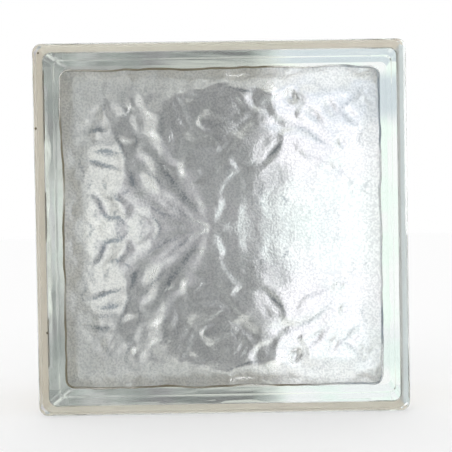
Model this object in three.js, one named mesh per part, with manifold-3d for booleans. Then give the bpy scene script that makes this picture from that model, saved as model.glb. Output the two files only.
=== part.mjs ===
// A square hollow glass block, as laid in walls: two pressed glass half shells fused rim to rim,
// and a thin bonding coat in the recessed channel that runs round the four sides for the mortar.
// Millimetres. X is the width, Y is the depth with the front face towards -Y, and Z is up.
// The origin is under the middle of the block, on the level that it stands on.

import * as THREE from "three";
import { mergeVertices } from "three/addons/utils/BufferGeometryUtils.js";
import Module from "manifold-3d";

// Overall size
const BLOCK_WIDTH = 190;
const BLOCK_HEIGHT = 190;
const BLOCK_DEPTH = 80;

// Lip round each face: a flat land that the block stands on, and a rounded edge to the face
const LIP_LAND = 5;
const FACE_EDGE_RADIUS = 2;
const LIP_CORNER_RADIUS = 4.8;

// Mortar channel between the two lips: a sloping shoulder, the side wall and the fused seam
const CHANNEL_DEPTH = 4.2;
const SHOULDER_RUN = 3.5;
const SHOULDER_ROUNDING = 0.8;
const WALL_CORNER_RADIUS = 3.5;
const SEAM_BEAD_HEIGHT = 0.4;
const SEAM_BEAD_RUN = 3.5;

// Hollow of one half
const FACE_THICKNESS = 8;
const WALL_THICKNESS = 6.6;
const HOLLOW_DRAFT = 2;
const HOLLOW_FILLET = 1.2;
const HOLLOW_CORNER_RADIUS = 5;

// Relief on the inside of each face. The lower half of a face mirrors its upper half.
// A ripple is a rounded fold; its height is positive where the glass is thicker.
const RELIEF_FADE = 9;
const RIPPLE_LENGTH = 26;
const RIPPLE_HEIGHT = 0.45;
const FOLD_SPREAD = 5;
const RIDGE_HEIGHT = 1.6;
const FURROW_HEIGHT = -1.2;

// Each fold runs through points given as [across from the middle, up from mid height].
const RIDGES = [
  [[-8, 0], [-16, 5], [-28, 18], [-46, 30]],
  [[-5, 5], [-12, 9], [-16, 20], [-26, 37], [-34, 46], [-44, 66]],
  [[-5, 0], [4, 13], [5, 23], [13, 22], [25, 34]],
  [[-14, 47], [-19, 57], [-24, 68]],
  [[-7, 47], [3, 42], [15, 51], [22, 66]],
  [[18, 3], [34, 12], [52, 10], [70, 18]],
  [[34, 40], [50, 50], [66, 47]],
  [[-50, 0], [-62, 8], [-74, 6]],
];
const FURROWS = [
  [[-47, 0], [-52, 6], [-61, 11], [-66, 24]],
  [[-43, 30], [-48, 45], [-52, 66]],
  [[-22, 10], [-34, 14], [-40, 6]],
  [[6, 34], [20, 44], [30, 60]],
  [[24, 16], [44, 26], [60, 30]],
];

// Bonding coat on the channel
const COAT_THICKNESS = 0.5;
const COAT_CLEARANCE = 0.3;
const COAT_SET_BACK = 0.4;

// How finely the surfaces are divided
const CORNER_STEPS = 6;
const PANEL_SIDE_STEPS = 18;
const PANEL_RINGS = 14;
const ROUNDING_STEPS = 2;
const BEAD_STEPS = 4;
const ROUND_STEPS = 4;

const faceLevel = BLOCK_DEPTH / 2;
const panelLevel = faceLevel - FACE_THICKNESS;
const landTop = faceLevel - FACE_EDGE_RADIUS;
const landFoot = landTop - LIP_LAND;
const shoulderFoot = landFoot - SHOULDER_RUN;
const hollowInset = CHANNEL_DEPTH + WALL_THICKNESS;
const panelInset = hollowInset + HOLLOW_DRAFT + HOLLOW_FILLET;
const panelHalfWidth = BLOCK_WIDTH / 2 - panelInset;
const panelHalfHeight = BLOCK_HEIGHT / 2 - panelInset;

const { clamp, lerp, smoothstep } = THREE.MathUtils;

const glass = new THREE.MeshStandardMaterial({
  color: 0xdce6e1,
  roughness: 0.05,
  metalness: 0,
  transparent: true,
  opacity: 0.35,
});
const coat = new THREE.MeshStandardMaterial({
  color: 0xcdc8b7,
  roughness: 0.8,
  metalness: 0,
});

// Even steps from 0 to 1, both ends included.
function fractions(steps) {
  return Array.from({ length: steps + 1 }, (_, i) => i / steps);
}

// How far the channel's surface lies in from the lip, at a distance from the mid plane.
function channelInset(fromMiddle) {
  const away = Math.abs(fromMiddle);
  if (away < SEAM_BEAD_RUN) {
    const swell = (1 + Math.cos((Math.PI * away) / SEAM_BEAD_RUN)) / 2;
    return CHANNEL_DEPTH - SEAM_BEAD_HEIGHT * swell;
  }
  return CHANNEL_DEPTH * (1 - slope(away - shoulderFoot));
}

// Share of the shoulder's rise at a place along its run: a straight slope with rounded ends.
function slope(along) {
  const share = clamp(along / SHOULDER_RUN, 0, 1);
  const end = SHOULDER_ROUNDING / SHOULDER_RUN;
  const straight = (share - end / 2) / (1 - end);
  const rounded = (past) => past ** 2 / (2 * end * (1 - end));
  if (share < end) return rounded(share);
  return share > 1 - end ? 1 - rounded(1 - share) : straight;
}

// Places from the mid plane to the foot of the lip's land where the channel's section turns.
const channelStations = [
  ...fractions(BEAD_STEPS).map((t) => t * SEAM_BEAD_RUN),
  ...fractions(ROUNDING_STEPS).map((t) => shoulderFoot + t * SHOULDER_ROUNDING),
  ...fractions(ROUNDING_STEPS).map((t) => landFoot - (1 - t) * SHOULDER_ROUNDING),
];

// Radius of the block's upright corner where the surface lies in from the lip by an inset.
function cornerRadius(inset) {
  return lerp(LIP_CORNER_RADIUS, WALL_CORNER_RADIUS, inset / CHANNEL_DEPTH);
}

// A rounded rectangle seen from the front, walked anticlockwise. Inset is measured from the lip.
function ring({ inset, level, radius }, sideSteps) {
  const halfWidth = BLOCK_WIDTH / 2 - inset;
  const halfHeight = BLOCK_HEIGHT / 2 - inset;
  return roundedRectangle(halfWidth, halfHeight, radius, sideSteps).map(
    ([x, rise]) => place(x, level, rise),
  );
}

// Points of a rounded rectangle as [across, up], each side divided into even steps.
function roundedRectangle(halfWidth, halfHeight, radius, sideSteps) {
  const corners = [
    [1, 1],
    [-1, 1],
    [-1, -1],
    [1, -1],
  ].map(([sx, sy], quarter) =>
    fractions(CORNER_STEPS).map((t) => {
      const turn = ((quarter + t) * Math.PI) / 2;
      return [
        sx * (halfWidth - radius) + radius * Math.cos(turn),
        sy * (halfHeight - radius) + radius * Math.sin(turn),
      ];
    }),
  );
  return corners.flatMap((corner, i) => {
    const from = corner[CORNER_STEPS];
    const to = corners[(i + 1) % 4][0];
    const side = fractions(sideSteps).slice(1, -1);
    return [
      ...corner,
      ...side.map((t) => [lerp(from[0], to[0], t), lerp(from[1], to[1], t)]),
    ];
  });
}

// A point of the front half: across, forward of the mid plane, and up from mid height.
function place(x, level, rise) {
  return new THREE.Vector3(x, -level, rise + BLOCK_HEIGHT / 2);
}

// A surface carried from ring to ring. Its ends close to a point each, or ring to ring.
function loft(rings, ends) {
  const count = rings[0].length;
  const points = rings.flat();
  const index = [];
  const spans = ends ? rings.length - 1 : rings.length;
  for (let i = 0; i < spans; i++) {
    const near = i * count;
    const far = ((i + 1) % rings.length) * count;
    for (let j = 0; j < count; j++) {
      const next = (j + 1) % count;
      index.push(near + j, near + next, far + j);
      index.push(near + next, far + next, far + j);
    }
  }
  if (ends) {
    const first = points.push(ends[0]) - 1;
    const last = points.push(ends[1]) - 1;
    const lastRing = (rings.length - 1) * count;
    for (let j = 0; j < count; j++) {
      const next = (j + 1) % count;
      index.push(next, j, first);
      index.push(lastRing + j, lastRing + next, last);
    }
  }
  const geometry = new THREE.BufferGeometry().setFromPoints(points);
  geometry.setIndex(index);
  return geometry;
}

// Outside of one half, from the rim to the face, as a solid body.
function outsideOfHalf() {
  const channel = channelStations.map((level) => ({
    inset: channelInset(level),
    level,
    radius: cornerRadius(channelInset(level)),
  }));
  const roundedEdge = fractions(ROUND_STEPS).map((t) => {
    const inset = FACE_EDGE_RADIUS * (1 - Math.cos((t * Math.PI) / 2));
    return {
      inset,
      level: landTop + FACE_EDGE_RADIUS * Math.sin((t * Math.PI) / 2),
      radius: LIP_CORNER_RADIUS - inset,
    };
  });
  const rings = [...channel, ...roundedEdge].map((section) => ring(section, 1));
  return loft(rings, [place(0, 0, 0), place(0, faceLevel, 0)]);
}

// Shortest distance from a spot to a path of straight runs.
function distanceToPath(spot, path) {
  const runs = path.slice(1).map((end, i) => {
    const from = new THREE.Vector3(...path[i], 0);
    const to = new THREE.Vector3(...end, 0);
    const nearest = new THREE.Line3(from, to).closestPointToPoint(spot, true, new THREE.Vector3());
    return nearest.distanceTo(spot);
  });
  return Math.min(...runs);
}

// Height of the relief at a spot: soft ripples with ridges and furrows folded into them.
function relief(x, rise) {
  const spot = new THREE.Vector3(x, Math.abs(rise), 0);
  const fold = (path, height) =>
    height * Math.exp(-((distanceToPath(spot, path) / FOLD_SPREAD) ** 2));
  const folds = [
    ...RIDGES.map((path) => fold(path, RIDGE_HEIGHT)),
    ...FURROWS.map((path) => fold(path, FURROW_HEIGHT)),
  ].reduce((sum, height) => sum + height, 0);
  const phase = (2 * Math.PI) / RIPPLE_LENGTH;
  const ripple = Math.sin(phase * (spot.x + spot.y)) * Math.cos(phase * (spot.x - spot.y));
  const border = Math.min(panelHalfWidth - Math.abs(x), panelHalfHeight - Math.abs(rise));
  return (folds + RIPPLE_HEIGHT * ripple) * smoothstep(border, 0, RELIEF_FADE);
}

// Hollow of one half as a solid body: past the rim, down the wall, round the fillet, over the panel.
function hollowOfHalf() {
  const fillet = fractions(ROUND_STEPS).map((t) => {
    const turn = (t * Math.PI) / 2;
    const inward = HOLLOW_FILLET * (1 - Math.cos(turn));
    return {
      inset: hollowInset + HOLLOW_DRAFT + inward,
      level: panelLevel - HOLLOW_FILLET * (1 - Math.sin(turn)),
      radius: HOLLOW_CORNER_RADIUS - inward,
    };
  });
  const wall = [-1, 0].map((level) => ({
    inset: hollowInset,
    level,
    radius: HOLLOW_CORNER_RADIUS,
  }));
  const sides = [...wall, ...fillet].map((section) => ring(section, PANEL_SIDE_STEPS));
  const edge = roundedRectangle(
    panelHalfWidth,
    panelHalfHeight,
    HOLLOW_CORNER_RADIUS - HOLLOW_FILLET,
    PANEL_SIDE_STEPS,
  );
  const panel = fractions(PANEL_RINGS)
    .slice(1, -1)
    .map((t) =>
      edge.map(([x, rise]) => {
        const across = x * (1 - t);
        const up = rise * (1 - t);
        return place(across, panelLevel - relief(across, up), up);
      }),
    );
  const middle = place(0, panelLevel - relief(0, 0), 0);
  return loft([...sides, ...panel], [place(0, -1, 0), middle]);
}

// Coat on the channel: a closed strip that keeps a clearance to the glass, carried round the block.
function coating() {
  const shown = channelStations.filter(
    (level) => channelInset(level) > COAT_CLEARANCE + COAT_THICKNESS + COAT_SET_BACK,
  );
  const stations = [...shown.slice(1).reverse().map((level) => -level), ...shown];
  const stripAt = (offset) =>
    stations.map((level) => {
      const rise = channelInset(level + 0.01) - channelInset(level - 0.01);
      const away = new THREE.Vector2(1, rise / 0.02).normalize().multiplyScalar(offset);
      const inset = channelInset(level) - away.x;
      return {
        inset,
        level: level + away.y,
        radius: cornerRadius(channelInset(level)) + away.x,
      };
    });
  const outer = stripAt(COAT_CLEARANCE + COAT_THICKNESS);
  const inner = stripAt(COAT_CLEARANCE).reverse();
  return loft([...outer, ...inner].map((section) => ring(section, 1)), null);
}

const wasm = await Module();
wasm.setup();

// A closed geometry as a solid that can be joined and cut.
function solid(geometry) {
  const merged = mergeVertices(geometry);
  return new wasm.Manifold(
    new wasm.Mesh({
      numProp: 3,
      vertProperties: merged.getAttribute("position").array,
      triVerts: new Uint32Array(merged.index.array),
    }),
  );
}

// One half shell as a geometry: its outside with the hollow cut out of it.
function halfShell() {
  const mesh = solid(outsideOfHalf()).subtract(solid(hollowOfHalf())).getMesh();
  const geometry = new THREE.BufferGeometry();
  geometry.setAttribute("position", new THREE.BufferAttribute(mesh.vertProperties, mesh.numProp));
  geometry.setIndex(new THREE.BufferAttribute(mesh.triVerts, 1));
  return geometry;
}

// A named mesh with a finish of its own.
function piece(name, geometry, material) {
  const mesh = new THREE.Mesh(geometry, material.clone());
  mesh.name = name;
  return mesh;
}

const block = new THREE.Group();
const pressing = halfShell();
const front = piece("front_half", pressing, glass);
const back = piece("back_half", pressing, glass);
back.rotation.z = Math.PI;
block.add(front, back, piece("edge_coating", coating(), coat));

export default block;
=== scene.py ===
"""A hollow glass wall block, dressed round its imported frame.

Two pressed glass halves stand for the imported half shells, and a brushed bonding coat stands for
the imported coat. Shapes are worked out in millimetres as whole arrays, with x across the face,
depth measured forward from the seam plane, and rise measured up from mid height. A mesh is put
into metres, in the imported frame, when it is made.
"""

import math

import bpy
import numpy as np
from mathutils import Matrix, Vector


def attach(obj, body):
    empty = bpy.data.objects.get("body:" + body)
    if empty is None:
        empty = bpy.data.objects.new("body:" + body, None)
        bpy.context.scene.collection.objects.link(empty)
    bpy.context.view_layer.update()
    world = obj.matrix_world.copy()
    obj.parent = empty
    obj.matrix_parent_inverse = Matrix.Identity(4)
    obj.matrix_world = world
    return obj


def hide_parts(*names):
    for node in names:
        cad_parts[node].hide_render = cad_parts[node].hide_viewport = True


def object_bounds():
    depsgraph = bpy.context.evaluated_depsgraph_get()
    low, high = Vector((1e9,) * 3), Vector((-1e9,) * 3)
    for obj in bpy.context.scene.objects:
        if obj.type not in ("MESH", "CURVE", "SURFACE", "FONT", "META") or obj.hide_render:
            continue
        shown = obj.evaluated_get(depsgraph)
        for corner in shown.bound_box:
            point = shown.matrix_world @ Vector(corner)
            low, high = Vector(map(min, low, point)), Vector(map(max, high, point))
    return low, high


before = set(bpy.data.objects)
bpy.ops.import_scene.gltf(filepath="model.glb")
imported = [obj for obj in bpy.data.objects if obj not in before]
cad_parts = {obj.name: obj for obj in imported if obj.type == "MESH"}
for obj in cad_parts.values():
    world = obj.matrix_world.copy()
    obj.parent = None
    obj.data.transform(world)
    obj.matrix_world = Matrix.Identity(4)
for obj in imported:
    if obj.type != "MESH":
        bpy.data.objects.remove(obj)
packed_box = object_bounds()

MM = 0.001
# Stands in for zero in divisions and comparisons
TINY = 1e-9

# Overall size of the block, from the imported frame
low, high = (np.array(corner) / MM for corner in packed_box)
BLOCK_WIDTH, BLOCK_DEPTH, BLOCK_HEIGHT = high - low
MID_HEIGHT = BLOCK_HEIGHT / 2
FACE_LEVEL = BLOCK_DEPTH / 2

# Section of one half, as in the construction model
LIP_LAND = 5.0
FACE_EDGE_RADIUS = 2.0
LIP_CORNER_RADIUS = 4.8
CHANNEL_DEPTH = 4.2
SHOULDER_RUN = 3.5
SHOULDER_ROUNDING = 0.8
WALL_CORNER_RADIUS = 3.5
SEAM_BEAD_HEIGHT = 0.4
SEAM_BEAD_RUN = 3.5
FACE_THICKNESS = 8.0
WALL_THICKNESS = 6.6
HOLLOW_DRAFT = 2.0
HOLLOW_FILLET = 1.2
HOLLOW_CORNER_RADIUS = 5.0
COAT_THICKNESS = 0.5
COAT_CLEARANCE = 0.3
COAT_SET_BACK = 0.4

LAND_TOP = FACE_LEVEL - FACE_EDGE_RADIUS
LAND_FOOT = LAND_TOP - LIP_LAND
SHOULDER_FOOT = LAND_FOOT - SHOULDER_RUN
PANEL_LEVEL = FACE_LEVEL - FACE_THICKNESS
HOLLOW_INSET = CHANNEL_DEPTH + WALL_THICKNESS
PANEL_INSET = HOLLOW_INSET + HOLLOW_DRAFT + HOLLOW_FILLET
PANEL_HALF_WIDTH = BLOCK_WIDTH / 2 - PANEL_INSET
PANEL_HALF_HEIGHT = BLOCK_HEIGHT / 2 - PANEL_INSET

# How finely the glass is divided: cells from the middle of the panel to its edge
PANEL_CELLS = 110
# Share of a side's even spacing that is moved out to its corners
CORNER_CROWDING = 0.115
# The rims reach this far past the seam plane, so that the fused seam is one glass
SEAM_OVERLAP = 0.02
# Rings on the flat face: how far each lies in from the rounded edge, and its corner radius
FACE_RING_INSETS = [0.6, 12.0, 35.0, 60.0, 82.0]
FACE_RING_RADII = [2.4, 2.2, 1.8, 1.3, 0.8]


# ---------------- shape helpers


def smoothstep(value, start, end):
    """0 before start, 1 after end, and an even S between: three t squared less two t cubed."""
    t = np.clip((value - start) / (end - start), 0, 1)
    return t * t * (3 - 2 * t)


def rounded_square(across, up, half_width, half_height, radius):
    """A point of a unit square's edge, moved onto a rounded rectangle.

    The distance along a side from its middle is kept as a share of half of that side plus half of
    the corner's arc: up to the arc it is the place along the side, and past that it is the turn.
    """
    on_top = np.abs(up) >= np.abs(across)
    along = np.where(on_top, across, up)
    side = np.where(on_top, half_width, half_height)
    straight = side - radius
    travel = np.abs(along) * (straight + radius * math.pi / 4)
    turn = np.maximum(travel - straight, 0) / np.maximum(radius, TINY)
    run = np.where(travel < straight, travel, straight + radius * np.sin(turn))
    out = np.where(on_top, half_height, half_width) - radius * (1 - np.cos(turn))
    x = np.where(on_top, np.sign(along) * run, np.sign(across) * out)
    rise = np.where(on_top, np.sign(up) * out, np.sign(along) * run)
    return x, rise


def grid_places(cells):
    """Places from -1 to 1 across a square grid: u + k * (u - u ** 9), which crowds at both ends."""
    even = np.linspace(-1, 1, 2 * cells + 1)
    return even + CORNER_CROWDING * (even - even**9)


def square_walk(cells):
    """Whole-number places round a square grid's edge, anticlockwise seen from the front."""
    span = 2 * cells
    up = np.arange(span)
    right = np.stack([np.full(span, span), up], 1)
    top = np.stack([span - up, np.full(span, span)], 1)
    left = np.stack([np.zeros(span, int), span - up], 1)
    bottom = np.stack([up, np.zeros(span, int)], 1)
    return np.concatenate([right, top, left, bottom])


def ring_strip(first_row, second_row):
    """Four-sided faces between two rings of vertex numbers."""
    return np.stack([first_row, np.roll(first_row, -1), np.roll(second_row, -1), second_row], 1)


def make_mesh(name, points, faces, smooth=True, marks=None):
    """A mesh object from points in millimetres, given as x, depth forward of the seam, and rise.

    Marks are values kept at the points under a name, for the material to read. Smooth is one value
    for the whole mesh, or one for each face.
    """
    x, forward, rise = points.T
    vertices = np.stack([x, -forward, rise + MID_HEIGHT], 1) * MM
    mesh = bpy.data.meshes.new(name)
    mesh.vertices.add(len(vertices))
    mesh.vertices.foreach_set("co", vertices.ravel())
    counts = np.concatenate([np.full(len(f), f.shape[1]) for f in faces])
    loops = np.concatenate([f.ravel() for f in faces])
    mesh.loops.add(len(loops))
    mesh.loops.foreach_set("vertex_index", loops)
    mesh.polygons.add(len(counts))
    mesh.polygons.foreach_set("loop_start", np.cumsum(counts) - counts)
    mesh.polygons.foreach_set("use_smooth", np.broadcast_to(smooth, len(counts)).tolist())
    mesh.update(calc_edges=True)
    mesh.validate()
    for mark, values in (marks or {}).items():
        mesh.attributes.new(mark, "FLOAT", "POINT").data.foreach_set("value", values)
    piece = bpy.data.objects.new(name, mesh)
    bpy.context.scene.collection.objects.link(piece)
    return piece


# ---------------- section of the block


def slope(along):
    """Share of the shoulder's rise: a straight slope whose two ends are rounded by parabolas."""
    share = np.clip(along / SHOULDER_RUN, 0, 1)
    end = SHOULDER_ROUNDING / SHOULDER_RUN
    straight = (share - end / 2) / (1 - end)
    low_end = share**2 / (2 * end * (1 - end))
    high_end = 1 - (1 - share) ** 2 / (2 * end * (1 - end))
    return np.where(share < end, low_end, np.where(share > 1 - end, high_end, straight))


def channel_inset(from_middle):
    """How far the channel lies in from the lip: its depth, less the slope and a cosine bead."""
    away = np.abs(from_middle)
    swell = (1 + np.cos(math.pi * np.minimum(away / SEAM_BEAD_RUN, 1))) / 2
    return CHANNEL_DEPTH * (1 - slope(away - SHOULDER_FOOT)) - SEAM_BEAD_HEIGHT * swell


def corner_radius(inset):
    """Radius of the upright corner, straight with the inset from the lip's to the wall's."""
    share = np.clip(inset / CHANNEL_DEPTH, 0, 1)
    return LIP_CORNER_RADIUS + (WALL_CORNER_RADIUS - LIP_CORNER_RADIUS) * share


def quarter(steps):
    """Angles of a quarter turn, both ends included."""
    return np.linspace(0, math.pi / 2, steps + 1)


def outside_section():
    """Inset, level and corner radius of the outside: channel, land, quarter circle and face."""
    bead = np.linspace(0, SEAM_BEAD_RUN, 7)
    wall = np.linspace(SEAM_BEAD_RUN + 2, SHOULDER_FOOT - 2, 8)
    foot = SHOULDER_FOOT + SHOULDER_ROUNDING * np.linspace(-0.3, 1, 6)
    brow = LAND_FOOT - SHOULDER_ROUNDING * np.linspace(1, -0.3, 6)
    shoulder = np.concatenate([foot, [(SHOULDER_FOOT + LAND_FOOT) / 2], brow])
    level = np.concatenate([bead, wall, shoulder])
    inset = channel_inset(level)
    radius = corner_radius(inset)
    turn = quarter(7)
    edge_inset = FACE_EDGE_RADIUS * (1 - np.cos(turn))
    edge_level = LAND_TOP + FACE_EDGE_RADIUS * np.sin(turn)
    flat_inset = FACE_EDGE_RADIUS + np.array(FACE_RING_INSETS)
    return (
        np.concatenate([inset, edge_inset, flat_inset]),
        np.concatenate([level, edge_level, np.full(len(flat_inset), FACE_LEVEL)]),
        np.concatenate([radius, LIP_CORNER_RADIUS - edge_inset, FACE_RING_RADII]),
    )


def hollow_section():
    """Inset, level and corner radius of the hollow: the fillet's quarter circle and the wall."""
    turn = quarter(8)[::-1]
    inward = HOLLOW_FILLET * (1 - np.cos(turn))
    inset = HOLLOW_INSET + HOLLOW_DRAFT + inward
    level = PANEL_LEVEL - HOLLOW_FILLET * (1 - np.sin(turn))
    wall_level = np.linspace(level[-1], 0, 6)[1:]
    wall_share = wall_level / level[-1]
    wall_inset = HOLLOW_INSET + HOLLOW_DRAFT * wall_share
    wall_radius = np.full(len(wall_level), HOLLOW_CORNER_RADIUS)
    return (
        np.concatenate([inset, wall_inset]),
        np.concatenate([level, wall_level]),
        np.concatenate([HOLLOW_CORNER_RADIUS - inward, wall_radius]),
    )


# ---------------- relief pressed into the panels


def spline(points, steps=8):
    """A smooth path through given points: a Catmull-Rom curve, evenly stepped between them."""
    p = np.array(points, float)
    p = np.concatenate([[2 * p[0] - p[1]], p, [2 * p[-1] - p[-2]]])
    t = np.linspace(0, 1, steps, endpoint=False)[:, None]
    a, b, c, d = (p[i : len(p) - 3 + i, None, :] for i in range(4))
    run = (
        2 * b
        + (c - a) * t
        + (2 * a - 5 * b + 4 * c - d) * t**2
        + (3 * b - a - 3 * c + d) * t**3
    ) / 2
    return np.concatenate([run.reshape(-1, 2), p[-2:-1]])


def fold(x, rise, path, height, left, right):
    """A rounded fold along a path: an even S falls from its crest on each side, over its own width.

    Along the path the height is a sine to the power 0.8, and the width goes with it from about a
    third to the whole. Left and right are the sides as seen when walking along the path.
    """
    line = spline(path)
    start, run = line[:-1], np.diff(line, axis=0)
    length = np.hypot(*run.T)
    walked = np.concatenate([[0], np.cumsum(length)])
    best = np.full(x.shape, np.inf)
    side = np.zeros(x.shape)
    share = np.zeros(x.shape)
    for (sx, sz), (dx, dz), far, before in zip(start, run, length, walked):
        t = np.clip(((x - sx) * dx + (rise - sz) * dz) / far**2, 0, 1)
        ox, oz = x - sx - t * dx, rise - sz - t * dz
        away = np.hypot(ox, oz)
        nearer = away < best
        best = np.where(nearer, away, best)
        side = np.where(nearer, dx * oz - dz * ox, side)
        share = np.where(nearer, (before + t * far) / walked[-1], share)
    taper = np.sin(math.pi * np.clip(share, 0, 1)) ** 0.8
    width = np.where(side > 0, left, right) * (0.35 + 0.65 * taper)
    return height * taper * smoothstep(1 - best / width, 0, 1)


def lattice_value(column, row, seed):
    """A fixed random number from -1 to 1 for each crossing of a grid, by hashing its numbers.

    Large odd numbers mix them, and the lowest 16 bits that are left give the value.
    """
    mixed = (column * 374761393 + row * 668265263 + seed * 974711) & 0x7FFFFFFF
    mixed = (mixed ^ (mixed >> 13)) * 1274126177 & 0x7FFFFFFF
    return ((mixed ^ (mixed >> 16)) & 0xFFFF) / 32767.5 - 1


def value_noise(x, rise, size, seed):
    """Smooth random heights from -1 to 1 with bumps about as wide as size.

    The random numbers at a cell's four corners are blended by an S of the fifth degree each way.
    """
    u, v = x / size, rise / size
    column, row = np.floor(u).astype(np.int64), np.floor(v).astype(np.int64)
    fu, fv = u - column, v - row
    su, sv = fu**3 * (fu * (fu * 6 - 15) + 10), fv**3 * (fv * (fv * 6 - 15) + 10)
    corner = [lattice_value(column + i, row + j, seed) for j in (0, 1) for i in (0, 1)]
    near = corner[0] + (corner[1] - corner[0]) * su
    far = corner[2] + (corner[3] - corner[2]) * su
    return near + (far - near) * sv


def waves(x, rise, layers, base=0):
    """A base plus smooth noises, each given as its height, the width of its bumps and its seed."""
    return sum((height * value_noise(x, rise, *layer) for height, *layer in layers), base)


def veins(x, rise, size, seed):
    """Connected creases: one half less the size of a smooth noise, which folds where it is zero."""
    return 0.5 - np.abs(value_noise(x, rise, size, seed))


def crumple(x, rise, size, seed):
    """Flat facets: random heights at the corners of a warped triangular grid, straight between."""
    bent_x = x + 0.35 * size * value_noise(x, rise, 1.3 * size, seed + 1)
    bent_rise = rise + 0.35 * size * value_noise(x, rise, 1.3 * size, seed + 2)
    u = (bent_x - bent_rise / math.sqrt(3)) / size
    v = bent_rise * 2 / math.sqrt(3) / size
    column, row = np.floor(u).astype(np.int64), np.floor(v).astype(np.int64)
    fu, fv = u - column, v - row
    far_half = fu + fv > 1
    shift = far_half.astype(np.int64)
    base = lattice_value(column + shift, row + shift, seed)
    across = lattice_value(column + 1 - shift, row + shift, seed)
    up = lattice_value(column + shift, row + 1 - shift, seed)
    share_u = np.where(far_half, 1 - fu, fu)
    share_v = np.where(far_half, 1 - fv, fv)
    return base + (across - base) * share_u + (up - base) * share_v


# Facets of the upper half: middle as across and up in millimetres, then how steeply the glass
# thickens across and upwards
FACETS = [
    (-81, 78, 0, 0), (-80, 67, -0.05, 0.05), (-79, 56, 0.05, -0.05), (-81, 44, 0, 0),
    (-77, 33, 0.1, -0.05), (-80, 22, 0, 0.05), (-78, 10, 0.08, 0), (-81, 1, 0, 0),
    (-74, 77, 0.05, 0), (-67, 77, 0.08, -0.05), (-70, 66, -0.1, 0.05), (-67, 59, -0.1, 0),
    (-61, 57, 0, -0.45), (-66, 52, -0.2, 0), (-71, 46, 0.1, 0), (-57, 45, 0.1, 0.1),
    (-71, 41, -0.2, 0), (-65, 39, 0.16, -0.1), (-54, 37, 0, -0.1), (-74, 27, -0.05, 0),
    (-67, 25, 0.15, 0), (-56, 23, 0, 0.05), (-70, 15, -0.1, 0), (-64, 12, 0.25, 0),
    (-65, 6, 0.2, 0.05), (-55, 10, -0.12, -0.1), (-54, 2, 0.03, 0.1), (-70, 2, 0.1, 0),
    (-60, 1, 0.05, 0), (-53, 62, -0.05, -0.32), (-49, 68, 0.12, 0), (-49, 76, -0.1, -0.1),
    (-57, 72, 0.2, 0), (-62, 68, 0, 0.1), (-52, 49, 0.45, 0), (-48, 54, 0.5, 0.05),
    (-47, 42, 0.55, 0), (-44, 31, 0.5, 0), (-46, 23, 0.45, 0), (-42, 8, -0.35, 0),
    (-50, 15, 0.25, 0.1), (-48, 1, -0.15, 0), (-41, 66, -0.2, -0.35), (-36, 73, 0.1, 0.1),
    (-34, 63, -0.1, 0.1), (-40, 56, 0, 0), (-38, 45, -0.18, 0.05), (-38, 38, 0.3, 0),
    (-38, 32, -0.25, 0), (-37, 21, -0.38, 0), (-41, 14, 0.1, 0), (-33, 9, -0.1, 0),
    (-37, 1, -0.1, 0), (-30, 27, 0.15, 0), (-32, 15, -0.1, 0), (-26, 38, 0.15, 0),
    (-35, 53, -0.15, 0), (-25, 62, 0.34, -0.36), (-26, 52, 0.3, -0.1), (-24, 42, 0.3, 0),
    (-17, 63, 0.2, -0.42), (-10, 66, 0.12, -0.45), (-19, 41, -0.2, 0), (-13, 35, 0.1, 0.1),
    (-18, 16, 0.1, 0), (-23, 7, -0.15, 0), (-11, 46, -0.1, 0.1), (-11, 20, -0.15, 0),
    (-13, 7, -0.1, 0.05), (-15, 0, -0.08, 0), (-26, 1, -0.1, 0), (-8, 26, 0, 0),
    (-3, 54, 0.05, -0.12), (-1, 68, 0.02, -0.46), (0, 62, 0, -0.3), (8, 66, -0.08, -0.46),
    (9, 40, 0, -0.1), (0, 32, -0.1, 0), (13, 32, -0.08, 0), (15, 22, 0, 0), (9, 15, 0.1, 0.1),
    (2, 22, -0.15, 0), (16, 9, -0.2, 0), (11, 3, 0.05, 0), (1, 7, 0.05, 0), (-6, 3, 0, 0),
    (6, 0, 0.05, 0), (15, 45, -0.15, 0), (23, 46, 0.1, 0), (22, 67, -0.25, -0.5),
    (16, 61, -0.22, -0.2), (32, 62, 0.2, -0.1), (23, 57, 0.2, -0.15), (22, 36, -0.05, 0),
    (24, 23, 0, 0), (28, 13, -0.06, 0), (18, 7, -0.14, 0), (26, 1, -0.06, 0), (32, 39, 0, 0),
    (36, 66, 0.1, -0.2), (42, 47, -0.12, 0.1), (53, 43, -0.1, 0.1), (47, 59, 0.1, -0.1),
    (56, 61, 0.1, -0.1), (67, 54, -0.05, -0.1), (75, 62, 0, 0), (62, 37, 0.1, 0), (73, 40, 0, 0),
    (39, 26, -0.06, 0), (56, 20, 0, 0), (72, 14, 0, 0), (38, 7, -0.1, 0), (62, 3, 0, 0),
    (-27, 73, -0.05, 0.12), (-18, 74, -0.05, 0.12), (-11, 77, -0.02, 0.12), (-1, 78, -0.02, 0.12),
    (8, 76, -0.02, 0.12), (19, 75, -0.02, 0.12), (26, 76, 0, 0.1), (34, 76, 0.04, 0.06),
    (44, 75, 0.03, 0), (60, 74, 0, 0), (72, 74, 0, 0), (-40, 79, 0, 0.05), (-55, 81, 0, 0.05),
]

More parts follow.
